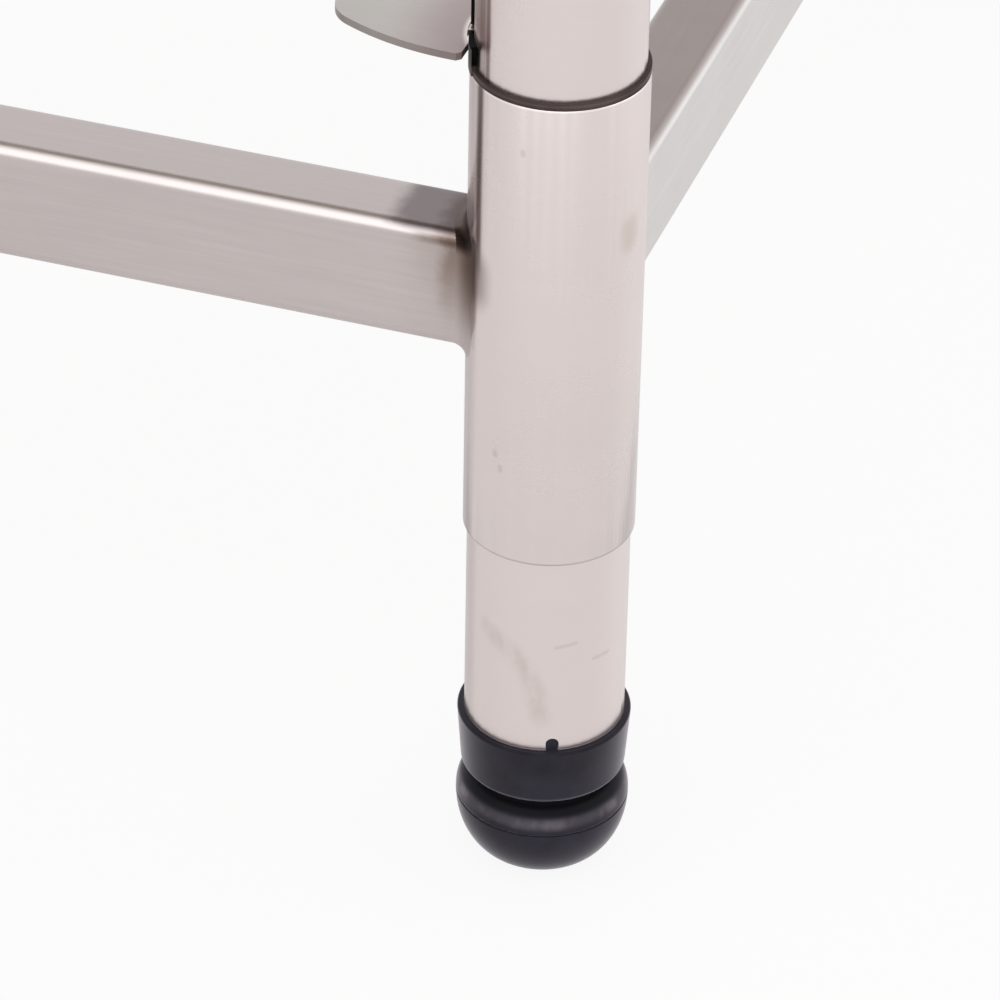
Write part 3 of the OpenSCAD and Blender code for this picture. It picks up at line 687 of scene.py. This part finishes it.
def key_shape(mesh, corner):
    """Arch-topped key of the insert, with soft edges on its outer face."""
    x, y = LEGS[corner]
    sx, sy = inward(corner)
    out = Vector((-sx * math.sin(KEY_TURN), -sy * math.cos(KEY_TURN), 0))
    across = Vector((-out.y, out.x, 0))

    rings = []
    for r, inset in ((PLUG_R - 0.5 * MM, 0), (TUBE_R - 0.35 * MM, 0), (TUBE_R - 0.15 * MM, 0.1 * MM),
                     (TUBE_R - 0.07 * MM, 0.35 * MM)):
        ring = []
        for side, height in [(1, -0.4 * MM), (1, KEY_H - KEY_R)]:
            ring.append((side * (KEY_R - inset), height))
        for k in range(1, 12):
            a = math.pi * k / 12
            ring.append(((KEY_R - inset) * math.cos(a), KEY_H - KEY_R + (KEY_R - inset) * math.sin(a)))
        for side, height in [(-1, KEY_H - KEY_R), (-1, -0.4 * MM)]:
            ring.append((side * (KEY_R - inset), height))
        rings.append([Vector((x, y, TUBE_LO.z + h)) + out * r + across * w for w, h in ring])
    mesh.rings(rings, closed=False, caps=True)


collar_low, collar_top, plug_top = INSERT_LO.z, TUBE_LO.z, INSERT_HI.z
COLLAR = softened(
    [(BORE_R, collar_low), (COLLAR_LOW_R, collar_low), (FOOT_R, collar_top), (PLUG_R, collar_top),
     (PLUG_R, plug_top), (BORE_R, plug_top)],
    [0.3 * MM, 0.7 * MM, 0.7 * MM, 0, 1.0 * MM, 0.3 * MM])
CURVE = 28
low, high = BULB_LO.z, BULB_HI.z
shoulder_h = high - low - GROOVE_H
shoulder = [(GROOVE_R + (FOOT_R - GROOVE_R) * math.cos(a), low + shoulder_h * math.sin(a))
            for a in (math.pi / 2 * k / CURVE for k in range(1, CURVE))]
BULB = softened(
    [(BORE_R, low), (FOOT_R, low)] + shoulder
    + [(GROOVE_R, low + shoulder_h), (GROOVE_R, high), (BORE_R, high)],
    [0.3 * MM, 0.35 * MM] + [0] * len(shoulder) + [0, 0.4 * MM, 0.3 * MM])
dome_h = PAD_HI.z
DOME = [(FLAT_R + (FOOT_R - FLAT_R) * math.sqrt(1 - (1 - z / dome_h) ** 2), z)
        for z in (dome_h * (1 - math.cos(math.pi / 2 * k / CURVE)) for k in range(CURVE))]
PAD = [(TIP_R, 0), (FLAT_R - 1.5 * MM, 0)] + DOME + softened(
    [(FOOT_R, dome_h - 0.5 * MM), (FOOT_R, dome_h), (BORE_R, dome_h), (BORE_R, STEM_LO.z - 0.3 * MM)],
    [0, 0.35 * MM, 0.3 * MM, 0]) + [(TIP_R, STEM_LO.z - 0.3 * MM)]


def threaded_rod(mesh, centre, radius, depth, pitch, z0, z1, count=36, rows=8):
    """Rod with a right-hand thread and a chamfer at each end."""
    rings = []
    total = int((z1 - z0) / pitch * rows)
    for i in range(total + 1):
        z = z0 + (z1 - z0) * i / total
        ease = min(1.0, (z - z0) / pitch, (z1 - z) / pitch)
        ring = []
        for k in range(count):
            a = 2 * math.pi * k / count
            f = ((z - z0) / pitch - k / count) % 1.0
            crest = min(1.0, 1.35 * (1 - abs(2 * f - 1)))
            r = radius - depth * (1 - crest * ease)
            ring.append(centre + Vector((r * math.cos(a), r * math.sin(a), z)))
        rings.append(ring)
    mesh.rings(rings, closed=False, caps=True)


THREAD_PITCH, THREAD_DEPTH = 3.0 * MM, 0.9 * MM
for corner, (x, y) in LEGS.items():
    plan = Vector((x, y, 0))
    insert, bulb, pad, stem = Mesh(), Mesh(), Mesh(), Mesh()
    insert.lathe(COLLAR, plan)
    key_shape(insert, corner)
    bulb.lathe(BULB, plan)
    pad.lathe(PAD, plan, closed=False, caps=True)
    threaded_rod(stem, plan, STEM_R, THREAD_DEPTH, THREAD_PITCH, STEM_LO.z, STEM_HI.z)
    for kind, shape, body, shader, slot in (
            ("foot_insert", insert, "table", foot_plastic, "black_plastic"),
            ("foot_bulb", bulb, "foot_" + corner + "_turn", foot_plastic, "black_plastic"),
            ("foot_pad", pad, "foot_" + corner + "_travel", pad_rubber, "pad_rubber"),
            ("foot_stem", stem, "foot_" + corner + "_turn", zinc, "zinc_fasteners")):
        node = kind + "_" + corner
        piece = mesh_piece(node.replace("foot_", "shaped_"), shape, body, shader.mat)
        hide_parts(node)
        weighted(piece)


# Fasteners: screws with a cross recess under the channels, and chamfered bolts under the leg sockets.
# A recess is a cross with arms ARM long and twice ARM_HALF wide.

ARM, ARM_HALF = 1.7 * MM, 0.42 * MM
HEAD_ARC = 1.4 * MM
arm_angle = math.degrees(math.atan2(ARM_HALF, ARM))
CROSS_ANGLES = [math.radians(90 * q + a) for q in range(4)
                for a in (0, arm_angle, 30, 45, 60, 90 - arm_angle)]


def cross_radius(angle):
    c, s = abs(math.cos(angle)), abs(math.sin(angle))
    big, small = max(c, s), max(min(c, s), 1e-6)
    return min(ARM / big, ARM_HALF / small)


def pan_screw(mesh, place, shank_r, shank_h, head_r, head_h):
    """Screw that points up from place, with its domed head below."""
    def circle(r, z):
        return [place + Vector((r * math.cos(a), r * math.sin(a), z)) for a in CROSS_ANGLES]

    def cross(scale, z):
        return [place + Vector((scale * cross_radius(a) * math.cos(a),
                                scale * cross_radius(a) * math.sin(a), z)) for a in CROSS_ANGLES]

    rings = [circle(TIP_R, shank_h), circle(shank_r * 0.5, shank_h - 0.1 * MM)]
    rings += [circle(shank_r, shank_h - 2 * MM), circle(shank_r, 0), circle(head_r, 0)]
    for k in range(6):
        a = math.pi / 2 * k / 6
        rings.append(circle(head_r - HEAD_ARC + HEAD_ARC * math.cos(a),
                            -head_h * (0.3 + 0.7 * math.sin(a))))
    rings += [circle(2.0 * MM, -head_h), cross(1.0, -head_h), cross(0.85, -head_h + 1.2 * MM),
              cross(0.12, -head_h + 1.6 * MM)]
    mesh.rings(rings, closed=False, caps=True)


SCREWS_LO, SCREWS_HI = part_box("channel_screws")
HEAD_R, SCREW_R, HEAD_H = 4.0 * MM, 2.0 * MM, 2.5 * MM
screw_end = SCREWS_HI.x - HEAD_R
channel_screws = Mesh()
for row in (-LEG_Y, 0, LEG_Y):
    for flange in (-1, 1):
        y = row + flange * (SCREWS_HI.y - HEAD_R - LEG_Y)
        for k in range(4):
            x = screw_end * (2 * k / 3 - 1)
            place = Vector((x, y, SCREWS_LO.z + HEAD_H))
            pan_screw(channel_screws, place, SCREW_R, SCREWS_HI.z - place.z, HEAD_R, HEAD_H)
piece = mesh_piece("flange_screws", channel_screws, "table", zinc.mat)
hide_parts("channel_screws")
weighted(piece)

BOLTS_LO, BOLTS_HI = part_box("socket_bolts")
BOLT_R, BOLT_HEAD_H = 3.0 * MM, 4.0 * MM
HEX_CORNER = BOLT_R * 1.85
HEX_FLAT = HEX_CORNER * math.cos(math.pi / 6)
HEX_COUNT = 48


def hex_bolt(mesh, place, length):
    """Bolt that points up from place, its chamfered head below and its end grooved like a thread."""
    angles = [2 * math.pi * k / HEX_COUNT for k in range(HEX_COUNT)]

    def circle(r, z):
        return [place + Vector((r * math.cos(a), r * math.sin(a), z)) for a in angles]

    def hexagon(z, drop):
        out = []
        for a in angles:
            r = HEX_FLAT / math.cos((a % (math.pi / 3)) - math.pi / 6)
            out.append(place + Vector((r * math.cos(a), r * math.sin(a), z + drop * (r - HEX_FLAT))))
        return out

    rings = [circle(TIP_R, length), circle(BOLT_R - 0.8 * MM, length)]
    z = length - 0.5 * MM
    while z > length - 5 * MM:
        rings += [circle(BOLT_R, z), circle(BOLT_R - 0.5 * MM, z - 0.5 * MM)]
        z -= 1.0 * MM
    rings += [circle(BOLT_R, z), circle(BOLT_R, 0), hexagon(0, 0.5)]
    rings[-1] = [Vector((v.x, v.y, place.z)) for v in rings[-1]]
    rings += [hexagon(-BOLT_HEAD_H + 0.1 * MM, 0.577), circle(HEX_FLAT * 0.98, -BOLT_HEAD_H),
              circle(TIP_R, -BOLT_HEAD_H)]
    mesh.rings(rings, closed=False, caps=True)


bolt_dx, bolt_dy = BOLTS_HI.x - HEX_CORNER - LEG_X, BOLTS_HI.y - HEX_FLAT - LEG_Y
plate_bolts = Mesh()
for x, y in LEGS.values():
    for sx in (-1, 1):
        for sy in (-1, 1):
            place = Vector((x + sx * bolt_dx, y + sy * bolt_dy, BOLTS_LO.z + BOLT_HEAD_H))
            hex_bolt(plate_bolts, place, BOLTS_HI.z - place.z)
piece = mesh_piece("plate_bolts", plate_bolts, "table", zinc.mat, smooth=False)
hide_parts("socket_bolts")


# Floor, light and camera

stage = bpy.data.meshes.new("floor")
FLOOR = 12.0
FLOOR_DROP = 0.2 * MM
stage.from_pydata([(-FLOOR, -FLOOR, 0), (FLOOR, -FLOOR, 0), (FLOOR, FLOOR, 0), (-FLOOR, FLOOR, 0)],
                  [], [(0, 1, 2, 3)])
floor = bpy.data.objects.new("floor", stage)
floor.location.z = -FLOOR_DROP
bpy.context.scene.collection.objects.link(floor)


def share_by_ray(tree, seen, mirrored):
    """A value for rays from the camera, one for rays off metal or through glass, and 0 for the rest."""
    rays = tree.nodes.new("ShaderNodeLightPath")
    either = tree.nodes.new("ShaderNodeMath")
    either.operation = "MAXIMUM"
    tree.links.new(rays.outputs["Is Glossy Ray"], either.inputs[0])
    tree.links.new(rays.outputs["Is Transmission Ray"], either.inputs[1])
    from_metal = tree.nodes.new("ShaderNodeMath")
    from_metal.operation = "MULTIPLY"
    from_metal.inputs[1].default_value = mirrored
    tree.links.new(either.outputs[0], from_metal.inputs[0])
    total = tree.nodes.new("ShaderNodeMath")
    total.operation = "MULTIPLY_ADD"
    total.inputs[1].default_value = seen
    tree.links.new(rays.outputs["Is Camera Ray"], total.inputs[0])
    tree.links.new(from_metal.outputs[0], total.inputs[2])
    return total.outputs[0]


paper = bpy.data.materials.new("floor")
paper.use_nodes = True
tree = paper.node_tree
tree.nodes.clear()
lit = tree.nodes.new("ShaderNodeBsdfDiffuse")
lit.inputs["Color"].default_value = (0.92, 0.92, 0.92, 1)
glow = tree.nodes.new("ShaderNodeEmission")
glow.inputs["Color"].default_value = (1, 1, 1, 1)
glow.inputs["Strength"].default_value = 1.0
blend = tree.nodes.new("ShaderNodeMixShader")
FLOOR_SEEN, FLOOR_MIRRORED = 0.90, 0.40
tree.links.new(share_by_ray(tree, FLOOR_SEEN, FLOOR_MIRRORED), blend.inputs[0])
tree.links.new(lit.outputs[0], blend.inputs[1])
tree.links.new(glow.outputs[0], blend.inputs[2])
out = tree.nodes.new("ShaderNodeOutputMaterial")
tree.links.new(blend.outputs[0], out.inputs[0])
stage.materials.append(paper)

world = bpy.data.worlds.new("studio")
bpy.context.scene.world = world
world.use_nodes = True
tree = world.node_tree
tree.nodes.clear()
# The world's strength as light, and as it is mirrored; the camera sees it as white
WORLD, WORLD_MIRRORED = 0.68, 0.95
extra = share_by_ray(tree, 1.0 - WORLD, WORLD_MIRRORED - WORLD)
level = tree.nodes.new("ShaderNodeMath")
level.operation = "ADD"
level.inputs[1].default_value = WORLD
tree.links.new(extra, level.inputs[0])
sky = tree.nodes.new("ShaderNodeBackground")
sky.inputs["Color"].default_value = (1, 1, 1, 1)
tree.links.new(level.outputs[0], sky.inputs["Strength"])
out = tree.nodes.new("ShaderNodeOutputWorld")
tree.links.new(sky.outputs[0], out.inputs[0])


def softbox(name, place, target, width, height, radiance):
    """A rectangular lamp that the camera doesn't see, aimed at target."""
    light = bpy.data.lights.new(name, "AREA")
    light.shape = "RECTANGLE"
    light.size, light.size_y = width, height
    light.energy = radiance * math.pi * width * height
    lamp = bpy.data.objects.new(name, light)
    lamp.location = place
    lamp.rotation_euler = (Vector(target) - Vector(place)).to_track_quat("-Z", "Y").to_euler()
    lamp.visible_camera = False
    bpy.context.scene.collection.objects.link(lamp)


softbox("key", (0.45, -1.95, 1.55), (0.5, -0.25, 0.15), 3.4, 2.4, 0.60)
softbox("fill", (2.3, 0.1, 1.3), (0.5, 0.0, 0.3), 1.8, 2.0, 0.47)

# The camera, fitted to the photograph's outlines
PLACE = (0.8417, -1.1808, 0.7759)
RIGHT = Vector((0.94647, 0.32239, 0.01635))
UP = Vector((-0.19523, 0.53134, 0.82436))
FORWARD = Vector((-0.25708, 0.78342, -0.56584))
lens = bpy.data.cameras.new("camera")
lens.lens = 186.16
lens.sensor_width = 36.0
lens.clip_start, lens.clip_end = 0.01, 100.0
camera = bpy.data.objects.new("camera", lens)
turn = Matrix((RIGHT, UP, -FORWARD)).transposed().to_4x4()
camera.matrix_world = Matrix.Translation(PLACE) @ turn
bpy.context.scene.collection.objects.link(camera)
bpy.context.scene.camera = camera

bpy.context.scene.view_settings.view_transform = "Standard"
